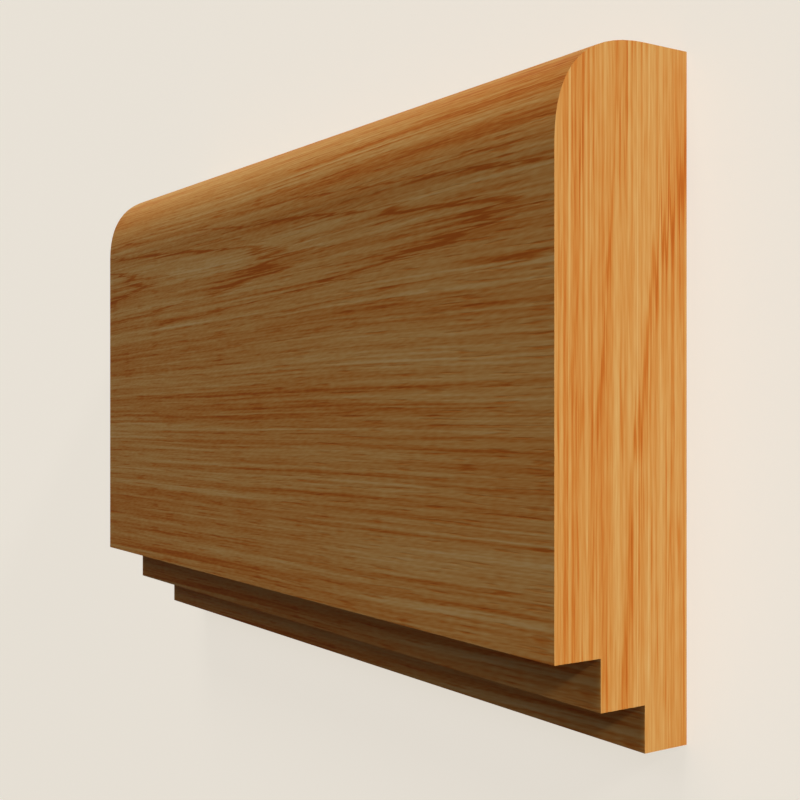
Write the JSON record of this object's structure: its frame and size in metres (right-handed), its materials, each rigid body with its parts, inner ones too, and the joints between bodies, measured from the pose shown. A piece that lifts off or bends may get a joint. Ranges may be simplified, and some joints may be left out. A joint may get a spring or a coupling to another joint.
{
  "type": "dado rail",
  "caption": "Short cut length of solid oak dado rail moulding with a flat back, a rounded top front edge and a stepped lower front edge, fixed along a wall.",
  "frame": {"origin": "centre of the flat back, which lies on the floor", "axes": "+X along the rail, +Y up the rail's height as it hangs on a wall, towards the rounded edge, +Z out of the back towards the front face"},
  "size_m": [0.118, 0.072, 0.018],
  "materials": {
    "oak": "planed oak with a clear satin lacquer"
  },
  "bodies": {
    "root": {"dado_rail": "oak"}
  },
  "joints": []
}
